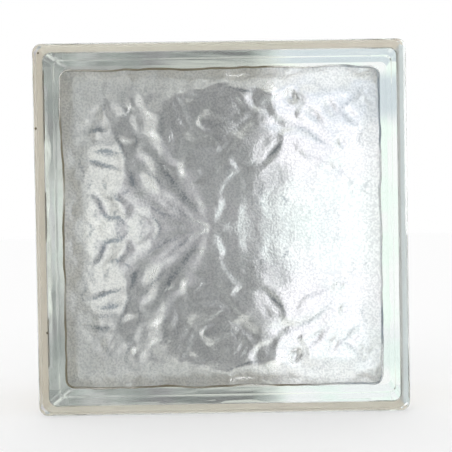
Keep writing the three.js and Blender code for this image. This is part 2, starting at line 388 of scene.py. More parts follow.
# Folds of the upper half, walking down: path as (across, up) in millimetres, height of the crest,
# and the widths of the flanks on the left and the right hand
FOLDS = [
    ([(-45.5, 46.5), (-38, 47.5), (-33.5, 44.5), (-30, 39), (-25, 32), (-21, 24.5), (-17, 17.5),
     (-12.5, 9.5), (-8.5, 0), (-5.5, -6)], 1.6, 5.4, 10),
    ([(-18.5, 21.5), (-15, 23.5), (-10.5, 27)], 0.9, 2, 2.5),
    ([(-44.5, 28), (-39, 23), (-34.5, 18.5), (-29, 16), (-22.5, 10.5), (-18, 4.5), (-13.5, 2),
     (-8, -1), (-3, -5)], 1.9, 5, 9),
    ([(-42.5, 11), (-32, 7), (-21.5, 3.5), (-11, 0), (-4, -3)], 1.4, 3.5, 7),
    ([(-37, 16.5), (-30.5, 11.5), (-21.5, 7)], 1.3, 3, 6),
    ([(-5.5, 43), (-4, 35), (-5.5, 29), (-6.5, 22), (-5.5, 11.5)], 1.5, 5, 8),
    ([(-6, -1), (-3, 2), (0.5, 6), (3, 11), (2.5, 15.5), (2, 19.5), (4, 23.5), (7, 27), (11, 25.5),
     (16, 19.5)], 1.5, 4.6, 7),
    ([(16, 60.5), (13.5, 54.5), (9.5, 49), (5, 43.5), (1.5, 39), (-0.5, 34),
     (0.5, 28)], 1.5, 3.8, 6),
    ([(-11, 52), (-5, 48), (0.5, 41.5)], 0.8, 3, 5),
    ([(-25, 68.5), (-21, 64.5), (-19, 58.5), (-18, 53.5), (-15, 48.5), (-11, 46.5)], 1.1, 3, 5),
    ([(-20.5, 64.5), (-16.5, 67), (-10.5, 67.5)], 0.6, 2.2, 3),
    ([(11, 55.5), (9.5, 62), (6.5, 67), (7.5, 70), (14, 69.5)], 0.9, 2.8, 4.5),
    ([(17, 69.5), (18.5, 64.5), (19, 58.5)], 0.6, 2.2, 4),
    ([(5.5, 40), (7.5, 35), (12.5, 32), (17, 34)], 0.9, 3, 5),
    ([(-16.5, 42), (-13.5, 36), (-11, 30), (-11, 23.5)], 0.9, 3.5, 6),
    ([(22, 56.5), (18, 53.5), (16, 50.5)], 0.8, 2, 4),
    ([(-62.5, 64.5), (-64, 59.5), (-67.5, 55.5)], 1.4, 6.5, 3),
    ([(-55.5, 68.5), (-53.5, 62.5), (-52, 57)], 0.6, 3.5, 4),
    ([(-44, 75), (-43.5, 68), (-42.5, 59.5)], 0.7, 4.5, 6),
    ([(-44.5, 40), (-40, 35), (-35, 28)], 1, 3, 5),
    ([(-59, 40), (-55, 36), (-50.5, 31)], 1.4, 7, 3),
    ([(-72.5, 37.5), (-65, 35), (-59.5, 33), (-50, 30.5)], 0.9, 6, 2.2),
    ([(-46, 12.5), (-42.5, 8.5), (-37, 4.5), (-34, -1)], 1.3, 3, 3),
    ([(-71.5, 19), (-64.5, 16.5), (-61, 11), (-58, 7.5), (-52, 5), (-49, 1.5)], 1, 6, 2.4),
    ([(-59, 76), (-58, 72), (-58.5, 68)], 1.2, 4, 2),
    ([(34.5, 71), (37, 67.5), (39, 63)], 2.2, 2.6, 6),
    ([(43.5, 62.5), (47, 58.5), (50.5, 53.5)], 1.7, 3, 6),
    ([(54, 67), (56.5, 61.5), (59.5, 56.5)], 1.5, 2.6, 6),
    ([(63, 60.5), (67, 56.5), (71, 52)], 1.4, 2.6, 6),
    ([(31.5, 46.5), (28, 41), (23, 35), (19.5, 30)], 1.3, 3.2, 5),
    ([(25, 48.5), (21, 43), (18, 36), (18, 29)], 0.8, 4.5, 4),
    ([(21, 51.5), (30.5, 52.5), (41, 50.5), (50, 46.5), (57.5, 40)], 1.1, 7, 4),
    ([(60.5, 47.5), (62, 43.5), (62.5, 40)], 1.6, 1.8, 4),
    ([(75, 70), (69.5, 63.5), (64, 57.5)], 1.1, 2.5, 2.5),
    ([(55.5, 35), (60, 32), (64, 26.5)], 1.5, 2, 6),
]

# Painted shade along the creases of the upper half, walking down: path as (across, up), how dark,
# and how wide the shade is on the left and the right hand
CREASE_PAINTED_SHADES = [
    ([(-72.5, 37.5), (-65, 35), (-59.5, 33), (-54.5, 31.5), (-49.5, 29.5)], 0.95, 1.68, 2.53),
    ([(-71.5, 19), (-64.5, 16.5), (-61.5, 10.5), (-59, 7.5), (-52, 5), (-49, 2), (-46.5, -0.5),
     (-44.5, -4)], 0.95, 1.44, 3.22),
    ([(-66.5, 40.5), (-58, 40), (-50.5, 38.5)], 0.87, 1.2, 3.45),
    ([(-71.5, 49.5), (-63, 50.5), (-55, 48.5)], 0.8, 3.6, 1.15),
    ([(-49, 31), (-47, 28), (-46, 23.5), (-44, 20.5)], 0.95, 3.12, 2.99),
    ([(-56, 53.5), (-53.5, 46.5), (-51, 39), (-49, 31)], 0.8, 4.2, 1.15),
    ([(-38, 8), (-33.5, 4), (-31, -0.5), (-29, -5)], 0.94, 1.08, 2.53),
    ([(-70.5, 5.5), (-67.5, 2), (-65.5, -0.5), (-64, -4)], 0.72, 0.96, 1.61),
    ([(-65, 30), (-67.5, 23.5), (-70.5, 19.5)], 0.51, 1.2, 4.6),
    ([(-61, 16.5), (-55, 15.5), (-48.5, 12.5)], 0.65, 3.6, 1.15),
    ([(-70.5, 40), (-72.5, 34), (-70.5, 29), (-73.5, 22.5)], 0.65, 0.96, 2.53),
    ([(-59, 29), (-60.5, 23.5), (-58, 18.5)], 0.51, 2.88, 0.92),
    ([(-52.5, 11.5), (-56, 8), (-54, 3), (-57, -1)], 0.65, 2.64, 0.92),
    ([(-64, 11.5), (-66.5, 8), (-64, 4)], 0.58, 2.88, 0.92),
    ([(-46.5, 20.5), (-49.5, 17.5), (-52.5, 18.5)], 0.58, 0.96, 2.99),
    ([(-45.5, 14.5), (-48.5, 10.5), (-45.5, 6)], 0.58, 3.12, 0.92),
    ([(-39, 7), (-42.5, 4), (-39, -1)], 0.58, 2.88, 0.92),
    ([(-67.5, 47.5), (-61, 44.5), (-54, 44)], 0.43, 1.2, 3.45),
    ([(-57, 68), (-59, 61.5), (-64, 57.5)], 0.58, 0.96, 3.45),
    ([(-48.5, 73), (-50.5, 66), (-48.5, 59.5), (-50.5, 53.5)], 0.51, 3.12, 0.92),
    ([(-39, 74), (-37, 67), (-39, 60.5)], 0.51, 3.12, 0.92),
    ([(-45.5, 51.5), (-43.5, 45), (-44.5, 40)], 0.58, 2.4, 1.15),
    ([(-37, 41.5), (-32, 35), (-27, 27), (-21, 19.5), (-15.5, 11.5),
     (-10, 3.5)], 0.72, 1.44, 5.175),
    ([(-42, 35.5), (-37, 29.5), (-31, 22.5), (-30, 19.5)], 0.58, 1.2, 3.45),
    ([(-29, 16), (-21.5, 8.5), (-13.5, 1)], 0.45, 1, 4),
    ([(-44.5, 16.5), (-36, 11.5), (-25.5, 6), (-16.5, 1)], 0.51, 1.08, 3.45),
    ([(32.5, 47), (28.5, 41), (24, 35), (20, 30)], 0.8, 1.6, 2.2),
    ([(21, 52), (32.5, 53), (43, 50), (52, 43), (57.5, 36)], 0.5, 3.5, 1.4),
    ([(32.5, 69), (36, 65.5), (34.5, 61)], 0.75, 1.6, 1.6),
    ([(42.5, 64.5), (47, 60), (50, 55.5), (56.5, 51.5)], 0.55, 1.2, 2.2),
    ([(54.5, 66), (60.5, 60.5), (67, 54.5), (73, 50.5)], 0.5, 1, 2),
    ([(74, 73), (68, 66), (62.5, 59.5), (56.5, 55.5)], 0.5, 1, 2),
    ([(-3, 74), (2.5, 73), (7.5, 71), (15, 69.5), (21, 69)], 0.7, 1.2, 0.8),
    ([(-26, 67.5), (-29.5, 62), (-30, 56.5), (-31.5, 50), (-30, 42.5), (-23.5, 36)], 0.35, 3, 0.8),
    ([(30, 17), (33, 13), (31.5, 10)], 0.8, 1.8, 1.8),
    ([(23, 23.5), (20, 19.5), (21, 15.5)], 0.4, 1.6, 3),
    ([(44, 74), (52, 71), (58.5, 67)], 0.4, 2.5, 1.2),
    ([(63.5, 26.5), (68, 21.5), (67, 15.5)], 0.3, 1.2, 2.5),
    ([(41, 1), (44, 7), (43, 14.5)], 0.25, 1.2, 2.5),
    ([(16, 14.5), (21, 11.5), (25, 12.5)], 0.3, 1.6, 1.6),
    ([(56.5, 9.5), (60, 5), (58.5, -0.5)], 0.3, 1.2, 2.5),
    ([(38.5, 39), (47, 35), (56.5, 32)], 0.35, 1.2, 3),
    ([(75, 51.5), (71, 46.5), (73, 40)], 0.45, 1.2, 2.5),
    ([(78, 24.5), (74, 19.5), (76, 14.5)], 0.35, 1.2, 2.5),
    ([(-15.5, 59.5), (-8, 54.5), (0.5, 53.5), (8.5, 57.5)], 0.4, 2.2, 3.5),
    ([(-11, 49.5), (-4, 45), (2.5, 47.5)], 0.35, 2, 1),
    ([(5.5, 35), (3.5, 29), (5.5, 21.5)], 0.3, 2, 1),
    ([(-23.5, 59.5), (-24.5, 52.5), (-22.5, 46.5)], 0.3, 1, 2.5),
]

# Facets: how softly their planes blend, and how firmly each level is held to zero
FACET_BLEND = 10.0
LEVEL_HOLD = 0.12
# Noises, as height, width of the bumps and seed: two that shift the relief's pattern across and
# up, its widest swell, waves of the walls, and waves of the line where the panel meets the wall
SHIFT_ACROSS = [(2.2, 9, 5), (0.8, 4, 6)]
SHIFT_UP = [(2.2, 9, 7), (0.8, 4, 8)]
WIDE_SWELL = [(0.7, 24, 1)]
WALL_WAVES = [(0.1, 17, 41), (0.03, 7, 42)]
FOOT_WAVES = [(0.6, 15, 61), (0.25, 6, 62)]
# Finer layers of its roughness: height, kind, width of the bumps and seed
ROUGH_LAYERS = [
    (0.8, veins, 15, 2),
    (0.7, veins, 7.5, 3),
    (0.5, crumple, 12, 31),
    (0.6, crumple, 6, 21),
    (0.6, value_noise, 10, 12),
]
# Heights of the roughness and the folds, and how far the facets and the folds follow the shift
ROUGH_SHARE = 0.82
FOLD_SHARE = 1.15
FACET_SHIFT = 0.7
FOLD_SHIFT = 0.4
# Ovals of less roughness: middle across and up, reach across and up, share lost (gained below 0)
CALM_PLACES = [
    (60, 0, 42, 56, 0.85),
    (0, 30, 30, 44, 0.3),
    (-78, 20, 22, 60, -0.1),
    (-32, 6, 22, 20, 0.6),
    (-72, 68, 22, 26, 0.5),
]
# The relief is lower in a band at the panel's edge: its width, and the share of height left there
RELIEF_FADE = 6.0
EDGE_SHARE = 0.8
# Share of its height that the back half's relief keeps, so that the front's stays clear
BACK_RELIEF = 0.5
# Bends of the relief, per millimetre, at which their painted shade begins and is full, and how
# dark it is
BEND_START = 0.2
BEND_FULL = 2.2
BEND_SHADE = 0.5
# How dark the dashes on the left shoulder are, and how far up and down they reach
DASH_SHADE = 0.85
DASH_REACH = 82


def calm_place(x, rise, middle_x, middle_rise, reach_x, reach_rise):
    """1 in an oval's middle, 0 outside it: one less an even S of the squared share of its reach."""
    far = ((x - middle_x) / reach_x) ** 2 + ((rise - middle_rise) / reach_rise) ** 2
    return 1 - smoothstep(far, 0.5, 1.2)


def faceted(x, up):
    """A surface of flat facets that lean each their own way and meet in soft creases.

    Neighbours are facets with no third facet nearer to the point half way between them. The height
    of each facet is the least-squares fit that lets neighbours meet at that point, and a softmax of
    the squared distances blends the planes.
    """
    facets = np.array(FACETS, float)
    place, lean = facets[:, :2], facets[:, 2:]
    half_way = (place[:, None] + place) / 2
    nearest = ((half_way[:, :, None] - place) ** 2).sum(3).min(2)
    own = ((half_way - place) ** 2).sum(2)
    first, second = np.nonzero(np.triu(nearest > 0.999 * own, 1))
    meet = half_way[first, second]
    rise_first = (lean[first] * (meet - place[first])).sum(1)
    rise_second = (lean[second] * (meet - place[second])).sum(1)
    each = np.eye(len(facets))
    joints = np.concatenate([each[first] - each[second], LEVEL_HOLD * each])
    gaps = np.concatenate([rise_second - rise_first, np.zeros(len(facets))])
    level = np.linalg.lstsq(joints, gaps, rcond=None)[0]
    off_x, off_up = x[..., None] - place[:, 0], up[..., None] - place[:, 1]
    far = off_x**2 + off_up**2
    weight = np.exp((far.min(-1, keepdims=True) - far) / FACET_BLEND)
    planes = level + off_x * lean[:, 0] + off_up * lean[:, 1]
    return (weight * planes).sum(-1) / weight.sum(-1)


def softened(height):
    """Heights with their kinks melted: each is half itself and a quarter of both sides, twice."""
    for axis in (0, 1, 0, 1):
        padding = [(1, 1) if each == axis else (0, 0) for each in (0, 1)]
        wider = np.moveaxis(np.pad(height, padding, mode="edge"), axis, 0)
        height = np.moveaxis((wider[:-2] + 2 * wider[1:-1] + wider[2:]) / 4, 0, axis)
    return height


def relief(x, rise):
    """Height of the pressed relief where the glass is thicker, mirrored about mid height.

    It is the sum of flat facets, folds, and a roughness of veins, crumples and noises, all shifted
    by noises. The sum is lower towards the panel's edge, and its kinks are softened.
    """
    up = np.abs(rise)
    bent_x = waves(x, up, SHIFT_ACROSS, x)
    bent_up = up + waves(x, up, SHIFT_UP) * smoothstep(up, 0, 9)
    shift_x, shift_up = bent_x - x, bent_up - up
    rough = waves(x, up, WIDE_SWELL)
    for height, kind, size, seed in ROUGH_LAYERS:
        rough = rough + height * kind(bent_x, bent_up, size, seed)
    rough = ROUGH_SHARE * rough
    for *oval, loss in CALM_PLACES:
        rough = rough * (1 - loss * calm_place(x, up, *oval))
    planes = faceted(x + FACET_SHIFT * shift_x, up + FACET_SHIFT * shift_up)
    near_x, near_up = x + FOLD_SHIFT * shift_x, up + FOLD_SHIFT * shift_up
    folds = sum(fold(near_x, near_up, *shape) for shape in FOLDS)
    folds = folds * (FOLD_SHARE + 0.3 * value_noise(x, up, 8, 9))
    border = np.minimum(PANEL_HALF_WIDTH - np.abs(x), PANEL_HALF_HEIGHT - up)
    inner = smoothstep(border, 0, RELIEF_FADE)
    return softened((planes + rough + folds) * (EDGE_SHARE + (1 - EDGE_SHARE) * inner))


def crease_painted_shade(x, rise):
    """How dark the painted shade along the creases is, from 0 to 1: the highest of folds along
    them, a little uneven.
    """
    up = np.abs(rise)
    near_x = x + 0.8 * value_noise(x, up, 6, 81)
    near_up = up + 0.8 * value_noise(x, up, 6, 82) * smoothstep(up, 0, 6)
    dark = [fold(near_x, near_up, *crease_shade) for crease_shade in CREASE_PAINTED_SHADES]
    return np.max(dark, axis=0) * (0.85 + 0.3 * value_noise(x, up, 7, 83))


def sharpness(height, x, rise):
    """How sharply the relief bends, from 0 to 1: the size of its second differences, softened."""
    across, up = np.gradient(x, axis=0), np.gradient(rise, axis=1)
    bend = np.gradient(np.gradient(height, axis=0) / across, axis=0) / across
    bend = bend + np.gradient(np.gradient(height, axis=1) / up, axis=1) / up
    for axis in (0, 1, 0, 1):
        bend = (np.roll(bend, 1, axis) + 2 * bend + np.roll(bend, -1, axis)) / 4
    return smoothstep(np.abs(bend), BEND_START, BEND_FULL)


# ---------------- pieces


def wall_wave(x, rise, level):
    """How far the wall waves outwards: two soft noises that end at the seam and the shoulder."""
    wave = waves(x + 1.4 * rise, level + 0.3 * (x - rise), WALL_WAVES)
    seam_end = smoothstep(level, 1, 8)
    return wave * seam_end * smoothstep(level, SHOULDER_FOOT - 1, SHOULDER_FOOT - 6)


def foot_wave(x, rise):
    """How far the line where the panel meets the wall waves outwards: two soft noises."""
    return waves(x, rise, FOOT_WAVES)


def round_block(inset, radius):
    """Places round the block's edge, in a row for each inset from the lip and its corner radius."""
    edge_across, edge_up = grid_places(PANEL_CELLS)[square_walk(PANEL_CELLS)].T
    half_width, half_height = BLOCK_WIDTH / 2 - inset, BLOCK_HEIGHT / 2 - inset
    rows = (values[:, None] for values in (half_width, half_height, radius))
    return rounded_square(edge_across[None], edge_up[None], *rows)


def moved_out(x, rise, wave, half_width, half_height):
    """Places moved away from the middle by a wave, in proportion to half the width and height."""
    return x * (1 + wave / half_width), rise * (1 + wave / half_height)


def glass_half(name, turned):
    """One pressed half: a surface carried from the middle of the panel to the middle of the face.

    The panel is a square grid drawn onto a rounded square, with the relief as its depth. From its
    edge, rings follow the hollow's section to the rim, and the outside's section to the face. A
    turned half is the same pressing, half round about the upright axis, with a lower relief. Marks
    hold the painted shade of the creases and bends, the painted shade line in the corner at the
    panel's foot, and the dashes on the front's left shoulder.
    """
    cells = PANEL_CELLS
    walk = square_walk(cells)
    around = len(walk)
    hollow, outside = hollow_section(), outside_section()
    hollow_rings = len(hollow[0]) - 1
    inset, level, radius = (np.concatenate(pair)[1:] for pair in zip(hollow, outside))
    level = np.where(level < TINY, -SEAM_OVERLAP, level)
    in_hollow = np.arange(len(level)) < hollow_rings
    rings_x, rings_rise = round_block(inset, radius)
    rings_level = np.repeat(level[:, None], around, 1)
    wave = wall_wave(rings_x, rings_rise, rings_level) * (inset < HOLLOW_INSET - 1)[:, None]
    rings_x, rings_rise = moved_out(rings_x, rings_rise, wave, BLOCK_WIDTH / 2, BLOCK_HEIGHT / 2)

    across, up = np.meshgrid(grid_places(cells), grid_places(cells), indexing="ij")
    share = np.maximum(np.maximum(np.abs(across), np.abs(up)), TINY)
    panel_x, panel_rise = rounded_square(
        across / share,
        up / share,
        PANEL_HALF_WIDTH * share,
        PANEL_HALF_HEIGHT * share,
        (HOLLOW_CORNER_RADIUS - HOLLOW_FILLET) * share,
    )
    panel_half = (PANEL_HALF_WIDTH, PANEL_HALF_HEIGHT)
    wave = foot_wave(panel_x, panel_rise) * share**10
    panel_x, panel_rise = moved_out(panel_x, panel_rise, wave, *panel_half)
    height = relief(panel_x, panel_rise) * (BACK_RELIEF if turned else 1)
    near_foot = (smoothstep(level, PANEL_LEVEL - 9, PANEL_LEVEL - 1) * in_hollow)[:, None]
    rings_level -= near_foot * height[tuple(walk.T)]
    wave = foot_wave(rings_x, rings_rise) * near_foot
    rings_x, rings_rise = moved_out(rings_x, rings_rise, wave, *panel_half)
    panel_points = np.stack([panel_x, PANEL_LEVEL - height, panel_rise], 2).reshape(-1, 3)
    ring_points = np.stack([rings_x, rings_level, rings_rise], 2).reshape(-1, 3)
    points = np.concatenate([panel_points, ring_points, [[0, FACE_LEVEL, 0]]])
    if turned:
        points = points * np.array([-1, -1, 1])

    number = np.arange((2 * cells + 1) ** 2).reshape(2 * cells + 1, -1)
    corners = [number[:-1, :-1], number[:-1, 1:], number[1:, 1:], number[1:, :-1]]
    cell_faces = np.stack(corners, 2).reshape(-1, 4)
    panel_edge = number[tuple(walk.T)]
    rings = number.size + np.arange(rings_x.size).reshape(rings_x.shape)
    rows = [panel_edge, *rings]
    strips = np.concatenate([ring_strip(a, b) for a, b in zip(rows, rows[1:])])
    pole = np.full(around, len(points) - 1)
    cap = np.stack([rows[-1], np.roll(rows[-1], -1), pole], 1)
    faces = [cell_faces, strips, cap]
    face = np.arange(sum(len(part) for part in faces))
    rim = len(cell_faces) + hollow_rings * around
    smooth = (face < rim) | (face >= rim + around)

    # Painted shade along the creases and the sharp bends of the relief
    crease_shade = np.zeros(len(points))
    bend_shades = BEND_SHADE * sharpness(height, panel_x, panel_rise)
    crease_shade[: number.size] = np.maximum(bend_shades, crease_painted_shade(panel_x, panel_rise)).ravel()
    # Painted shade line in the corner where the panel meets the wall, and the dashes on the left
    # shoulder
    foot = np.zeros(len(points))
    foot[panel_edge] = 1
    in_fillet = (level > PANEL_LEVEL - 0.7 * HOLLOW_FILLET) & in_hollow
    foot[number.size : -1] = np.repeat(in_fillet, around)
    foot *= np.clip(0.7 + 0.7 * value_noise(points[:, 0], points[:, 2], 17, 51), 0.3, 0.95)
    if not turned:
        at_shoulder = (np.abs(level - SHOULDER_FOOT) < 0.45) & ~in_hollow
        on_left = rings_x < CHANNEL_DEPTH + 1 - BLOCK_WIDTH / 2
        on_left = on_left & (np.abs(rings_rise) < DASH_REACH)
        dashes = smoothstep(value_noise(rings_x, rings_rise, 13, 71), -0.15, 0.15)
        dashes = dashes * on_left * at_shoulder[:, None]
        foot[number.size : -1] += DASH_SHADE * dashes.ravel()
    return make_mesh(name, points, faces, smooth, {"crease_shade": crease_shade, "foot": foot})


def coat_strip(name):
    """The coat: a closed strip carried round the channel, with a thin gap to the glass.

    Its skins are the channel's section moved out square to itself, where that is deep enough.
    """
    reach = np.linspace(0, LAND_FOOT, 400)
    deep = channel_inset(reach) > COAT_CLEARANCE + COAT_THICKNESS + COAT_SET_BACK
    edge = reach[deep][-1]
    level = np.concatenate(
        [
            np.linspace(-edge, -SHOULDER_FOOT, 10),
            np.linspace(-SHOULDER_FOOT + 3, -SEAM_BEAD_RUN - 2, 4),
            np.linspace(-SEAM_BEAD_RUN, SEAM_BEAD_RUN, 13),
            np.linspace(SEAM_BEAD_RUN + 2, SHOULDER_FOOT - 3, 4),
            np.linspace(SHOULDER_FOOT, edge, 10),
        ]
    )
    lean = (channel_inset(level + 0.01) - channel_inset(level - 0.01)) / 0.02
    steep = np.hypot(1, lean)

    def skin(offset):
        inset = channel_inset(level)
        return (
            inset - offset / steep,
            level + offset * lean / steep,
            corner_radius(inset) + offset / steep,
        )

    outer = skin(COAT_CLEARANCE + COAT_THICKNESS)
    inner = [values[::-1] for values in skin(COAT_CLEARANCE)]
    inset, forward, radius = (np.concatenate(pair) for pair in zip(outer, inner))
    x, rise = round_block(inset, radius)
    forward = np.broadcast_to(forward[:, None], x.shape)
    points = np.stack([x, forward, rise], 2).reshape(-1, 3)
    rows = list(np.arange(x.size).reshape(x.shape))
    strips = np.concatenate([ring_strip(a, b) for a, b in zip(rows, rows[1:] + rows[:1])])
    return make_mesh(name, points, [strips])


# ---------------- materials

# Glass: refraction, colour, colour of the painted shade in creases, and tint through its depth
GLASS_INDEX = 1.52
GLASS_CLEAR = (0.985, 0.995, 0.99, 1)
CREASE_SHADE_COLOUR = (0.1, 0.13, 0.17, 1)
GLASS_DEPTH = (0.937, 0.944, 0.938, 1)
GLASS_DENSITY = 35.0
# Relief: roughness, and the stipple's fineness, strength, depth in metres and shade
PANEL_ROUGHNESS = 0.32
STIPPLE_SCALE = 950.0
STIPPLE_STRENGTH = 0.8
STIPPLE_DEPTH = 0.00035
STIPPLE_SHADE = 0.42
# Painted shade line where the panel meets the wall: its colour, and its colour at the right
FOOT_SHADE_BROWN = (0.13, 0.108, 0.06, 1)
FOOT_SHADE_BLUE = (0.13, 0.17, 0.21, 1)
# Dark specks in the front: place across and up from the middle, and radius
SPECKS = [(-93.4, 51.8, 0.8), (-89.6, -52.2, 0.7), (-91.4, 89.9, 0.6)]
# Coat: two colours of its streaks, rosy patches, painted shade of its right and left sides, its
# painted highlight at the right, and glow
COAT_CREAM = (0.76, 0.72, 0.62, 1)
COAT_LIGHT = (0.84, 0.785, 0.69, 1)
COAT_ROSY = (0.83, 0.745, 0.66, 1)
COAT_SHADE_RIGHT = (0.62, 0.63, 0.63, 1)
COAT_SHADE_LEFT = (0.62, 0.55, 0.45, 1)
COAT_HIGHLIGHT = (0.88, 0.95, 0.99, 1)
COAT_GLOW = (0.92, 0.9, 0.82, 1)


def math_method(operation, swapped=False):
    """A method that adds a Math node, whose first value is the socket itself unless swapped."""

    def method(self, *others):
        values = (*others, self) if swapped else (self, *others)
        return self.nodes.add("ShaderNodeMath", {"operation": operation}, dict(enumerate(values)))

    return method


class Wire:
    """A shader socket that adds Math nodes when it is used in an expression."""

    def __init__(self, nodes, socket):
        self.nodes = nodes
        self.socket = socket

    __add__ = math_method("ADD")
    __radd__ = math_method("ADD", swapped=True)
    __sub__ = math_method("SUBTRACT")
    __rsub__ = math_method("SUBTRACT", swapped=True)
    __mul__ = math_method("MULTIPLY")
    __rmul__ = math_method("MULTIPLY", swapped=True)
    __truediv__ = math_method("DIVIDE")
    __abs__ = math_method("ABSOLUTE")
    smaller = math_method("MINIMUM")
    larger = math_method("MAXIMUM")


class Nodes:
    """A node tree that is filled one node at a time."""

    def __init__(self, tree):
        self.tree = tree
        tree.nodes.clear()

    def add(self, kind, settings=None, sockets=None, out=0):
        """A node of a kind: its settings are set first, then its sockets get values or links."""
        node = self.tree.nodes.new(kind)
        for name, value in (settings or {}).items():
            setattr(node, name, value)
        for name, value in (sockets or {}).items():
            socket = node.inputs[name]
            if isinstance(value, Wire):
                self.tree.links.new(value.socket, socket)
            else:
                socket.default_value = value
        return Wire(self, node.outputs[out]) if len(node.outputs) else node

    def place(self, kind="Object"):
        """A place, or for the world a direction, and its three parts."""
        whole = self.add("ShaderNodeTexCoord", out=kind)
        parts = [self.add("ShaderNodeSeparateXYZ", None, {0: whole}, out=i) for i in range(3)]
        return whole, *parts

    def ramp(self, value, start, end):
        """0 at start, 1 at end, smooth between."""
        return self.add(
            "ShaderNodeMapRange",
            {"interpolation_type": "SMOOTHSTEP"},
            {"Value": value, "From Min": start, "From Max": end},
        )

    def noise(self, place, scale, detail=1.0):
        """Smooth random values about one half, in bumps as wide as a metre divided by the scale."""
        sockets = {"Vector": place, "Scale": scale, "Detail": detail}
        return self.add("ShaderNodeTexNoise", None, sockets)

    def blend(self, share, first, second):
        """A colour that goes from the first to the second with the share."""
        sockets = {"Factor": share, 6: first, 7: second}
        return self.add("ShaderNodeMix", {"data_type": "RGBA"}, sockets, out=2)

    def mix(self, share, first, second):
        """A surface or light that goes from the first to the second with the share."""
        return self.add("ShaderNodeMixShader", None, {0: share, 1: first, 2: second})


def new_material(name):
    """An empty material, and its nodes."""
    material = bpy.data.materials.new(name)
    material.use_nodes = True
    return material, Nodes(material.node_tree)


def glass_material():
    """Clear pressed glass: smooth outside, finely stippled on the relief, green through its depth.

    The stipple is a fine noise, as bumps and as darker grains, and creases have painted shade. A
    matt line of painted shade, brown and bluer at the right, runs in the corner where the panel
    meets the wall. A few specks are matt.
    """
    material, n = new_material("pressed_glass")
    place, x, y, z = n.place()
    depth = abs(y)
    inside = n.ramp(depth, (PANEL_LEVEL + 4) * MM, (PANEL_LEVEL + 3) * MM)
    panel = inside * n.ramp(depth, (PANEL_LEVEL - 7) * MM, (PANEL_LEVEL - 5) * MM)
    beyond_x = abs(x) - (PANEL_HALF_WIDTH + 1) * MM
    beyond_z = abs(z - MID_HEIGHT * MM) - (PANEL_HALF_HEIGHT + 1) * MM
    panel = panel * n.ramp(beyond_x.larger(beyond_z), 1 * MM, 0)
    grain = n.noise(place, STIPPLE_SCALE)
    bumps = {"Strength": STIPPLE_STRENGTH, "Distance": STIPPLE_DEPTH, "Height": grain * panel}
    # Painted shade along the creases darkens the glass's colour, together with the stipple's darker
    # grains
    crease_shade = n.add("ShaderNodeAttribute", {"attribute_name": "crease_shade"}, out="Fac")
    shade = (crease_shade + STIPPLE_SHADE * n.ramp(grain, 0.62, 0.38)) * panel
    glass = n.add(
        "ShaderNodeBsdfPrincipled",
        None,
        {
            "Base Color": n.blend(shade, GLASS_CLEAR, CREASE_SHADE_COLOUR),
            "Roughness": PANEL_ROUGHNESS * panel,
            "IOR": GLASS_INDEX,
            "Transmission Weight": 1.0,
            "Normal": n.add("ShaderNodeBump", None, bumps),
        },
    )
    through = {"Color": GLASS_DEPTH, "Density": GLASS_DENSITY}
    tint = n.add("ShaderNodeVolumeAbsorption", None, through)

    def speck(at_x, at_rise, size):
        off_x, off_z = x - at_x * MM, z - (MID_HEIGHT + at_rise) * MM
        return n.ramp(off_x * off_x + off_z * off_z, (size * MM) ** 2, (0.6 * size * MM) ** 2)

    specks = speck(*SPECKS[0])
    for spot in SPECKS[1:]:
        specks = specks.larger(speck(*spot))
    specks = specks * n.ramp(y, (2.5 - FACE_LEVEL) * MM, (2.0 - FACE_LEVEL) * MM)
    # Painted shade line where the panel meets the wall, lighter to the right, drawn as a matt
    # surface with the specks
    foot = n.add("ShaderNodeAttribute", {"attribute_name": "foot"}, out="Fac")
    foot = foot * (1 - 0.15 * n.ramp(x, 20 * MM, 60 * MM))
    foot_shade_colour = n.blend(n.ramp(x, 30 * MM, 70 * MM), FOOT_SHADE_BROWN, FOOT_SHADE_BLUE)
    line = n.add("ShaderNodeBsdfDiffuse", None, {"Color": foot_shade_colour})
    surface = n.mix(foot.larger(0.9 * specks), glass, line)
    n.add("ShaderNodeOutputMaterial", None, {"Surface": surface, "Volume": tint})
    return material


